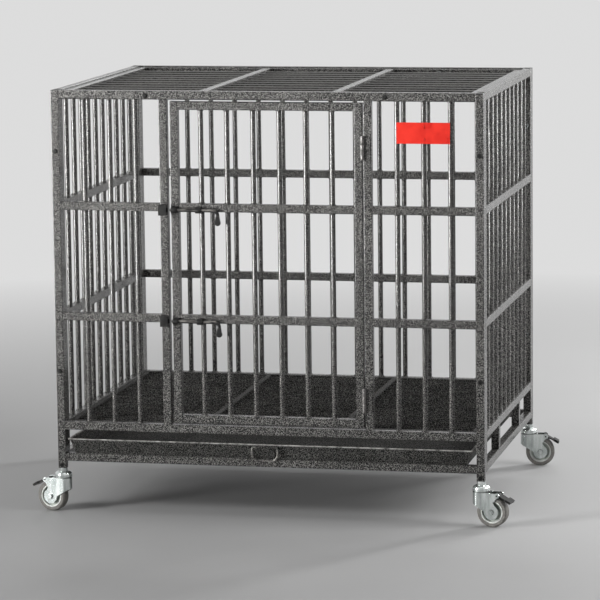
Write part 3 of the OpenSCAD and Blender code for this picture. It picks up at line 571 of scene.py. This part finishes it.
def make_welds(name, body, coat, joints):
    """One piece of weld beads that rides on a body; joints lists bars, their axis and their rails."""
    shape = bmesh.new()
    for bars, axis, rails in joints:
        weld_bars(shape, bars, axis, rails)
    bmesh.ops.recalc_face_normals(shape, faces=shape.faces)
    mesh = bpy.data.meshes.new(name)
    shape.to_mesh(mesh)
    shape.free()
    mesh.shade_smooth()
    mesh.materials.append(coat)
    welds = bpy.data.objects.new(name, mesh)
    bpy.context.scene.collection.objects.link(welds)
    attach(welds, body)


def weld_panels(coat):
    """Beads on the bars of every panel of the frame, and of the door."""
    x_axis = 0
    z_axis = 2
    make_welds("frame_welds", "frame", coat, [
        ("front_bars", z_axis, ["front_mid_rails"]),
        ("back_bars", z_axis, ["back_rails"]),
        ("left_panel_bars", z_axis, ["left_panel_frame"]),
        ("right_panel_bars", z_axis, ["right_panel_frame"]),
        ("top_panel_bars", x_axis, ["top_panel_frame"]),
    ])
    make_welds("door_welds", "door", coat, [("door_bars", z_axis, ["door_frame"])])


def soften_edges():
    """Small rounded edges on the fittings that are cut or cast with sharp ones."""
    for name in SOFT_EDGED:
        node = nodes[name]
        weld = node.modifiers.new("merge", "WELD")
        weld.merge_threshold = MERGE_DISTANCE
        flats = node.modifiers.new("flats", "DECIMATE")
        flats.decimate_type = "DISSOLVE"
        flats.angle_limit = math.radians(FLAT_ANGLE)
        bevel = node.modifiers.new("edges", "BEVEL")
        bevel.width = EDGE_ROUNDING
        bevel.segments = EDGE_SEGMENTS
        bevel.limit_method = "ANGLE"
        bevel.angle_limit = math.radians(SHARP_ANGLE)


def make_camera():
    """The camera of the photograph; it looks level along +Y before its turns."""
    camera = bpy.data.objects.new("camera", bpy.data.cameras.new("camera"))
    camera.data.lens = CAMERA_LENS
    camera.data.sensor_width = CAMERA_SENSOR
    turn = Matrix.Rotation(CAMERA_YAW, 4, "Z") @ Matrix.Rotation(math.pi / 2 + CAMERA_PITCH, 4, "X")
    camera.matrix_world = Matrix.Translation(CAMERA_PLACE) @ turn @ Matrix.Rotation(CAMERA_ROLL, 4, "Z")
    bpy.context.scene.collection.objects.link(camera)
    bpy.context.scene.camera = camera


def floor_material():
    """Pale floor with faint clouds, which fades into the backdrop away from the crate."""
    s = Shader("studio_floor")
    cloud = s.noise(per_metre=2.0, detail=3.0)
    s.feed("Base Color", s.mix(s.span(cloud, 0.3, 0.7), FLOOR_PALE, FLOOR_CLOUD))
    s.feed("Roughness", s.span(cloud, 0.3, 0.7, 0.55, 0.65))
    backdrop = s.add("ShaderNodeEmission", Color=BACKDROP)
    far = s.span(s.away((0.0, 0.0, 0.0)), FADE_START, FADE_END)
    fade = s.add("ShaderNodeMixShader")
    s.fill(fade.inputs, (far, s.surface.outputs["BSDF"], backdrop.outputs["Emission"]))
    s.link(fade.outputs["Shader"], s.tree.nodes["Material Output"].inputs["Surface"])
    return s.material


def make_floor():
    """Wide round floor that takes the crate's shadow."""
    mesh = bpy.data.meshes.new("floor")
    shape = bmesh.new()
    bmesh.ops.create_circle(shape, cap_ends=True, segments=FLOOR_CORNERS, radius=FLOOR_RADIUS)
    shape.to_mesh(mesh)
    shape.free()
    mesh.materials.append(floor_material())
    floor = bpy.data.objects.new("floor", mesh)
    bpy.context.scene.collection.objects.link(floor)


def make_world():
    """The backdrop's colour to the camera and in reflections, and a plain level of light elsewhere."""
    world = bpy.data.worlds.new("studio")
    bpy.context.scene.world = world
    world.use_nodes = True
    tree = world.node_tree
    path = tree.nodes.new("ShaderNodeLightPath")
    seen = path.outputs["Is Camera Ray"]
    for name in ("Is Glossy Ray", "Is Transmission Ray"):
        either = tree.nodes.new("ShaderNodeMath")
        either.operation = "MAXIMUM"
        tree.links.new(seen, either.inputs[0])
        tree.links.new(path.outputs[name], either.inputs[1])
        seen = either.outputs["Value"]
    level = tree.nodes.new("ShaderNodeMapRange")
    set_sockets(level, {"To_Min": AMBIENT_LEVEL, "To_Max": 1.0})
    tree.links.new(seen, level.inputs["Value"])
    background = tree.nodes["Background"]
    set_sockets(background, {"Color": BACKDROP})
    tree.links.new(level.outputs["Result"], background.inputs["Strength"])


def make_lamp(name, place, aim, size, power, spread=180.0):
    """Area lamp: place, aim and size in metres, power in watts, spread in degrees."""
    lamp = bpy.data.objects.new(name, bpy.data.lights.new(name, "AREA"))
    lamp.data.shape = "RECTANGLE"
    lamp.data.size, lamp.data.size_y = size
    lamp.data.energy = power
    lamp.data.spread = math.radians(spread)
    lamp.location = place
    lamp.rotation_euler = (Vector(aim) - Vector(place)).to_track_quat("-Z", "Y").to_euler()
    bpy.context.scene.collection.objects.link(lamp)


def make_lamps():
    """Soft light from above and the right, and narrower lamps that draw highlights along the bars."""
    make_lamp("overhead", place=(0.4, 0.6, 4.2), aim=CRATE_MIDDLE, size=(3.0, 3.0), power=30.0)
    make_lamp("right_side", place=(3.6, -0.2, 2.3), aim=CRATE_MIDDLE, size=(1.8, 2.0), power=90.0)
    make_lamp("right_strip", place=(2.3, 2.4, 1.6), aim=RIGHT_PANEL, size=(0.4, 2.2), power=80.0)
    make_lamp("front_left", place=(-2.0, -1.7, 1.5), aim=LEFT_CORNER, size=(0.6, 0.8), power=8.0,
              spread=65.0)
    make_lamp("front_strip", place=(-2.7, -2.7, 0.75), aim=FRONT_BARS, size=(1.0, 1.4), power=25.0,
              spread=50.0)
    make_lamp("back_strip", place=(-0.3, 3.6, 2.2), aim=TOP_PANEL, size=(3.0, 0.4), power=14.0)


bpy.context.scene.view_settings.view_transform = "Standard"
weld_panels(dress_nodes())
soften_edges()
make_camera()
make_floor()
make_world()
make_lamps()
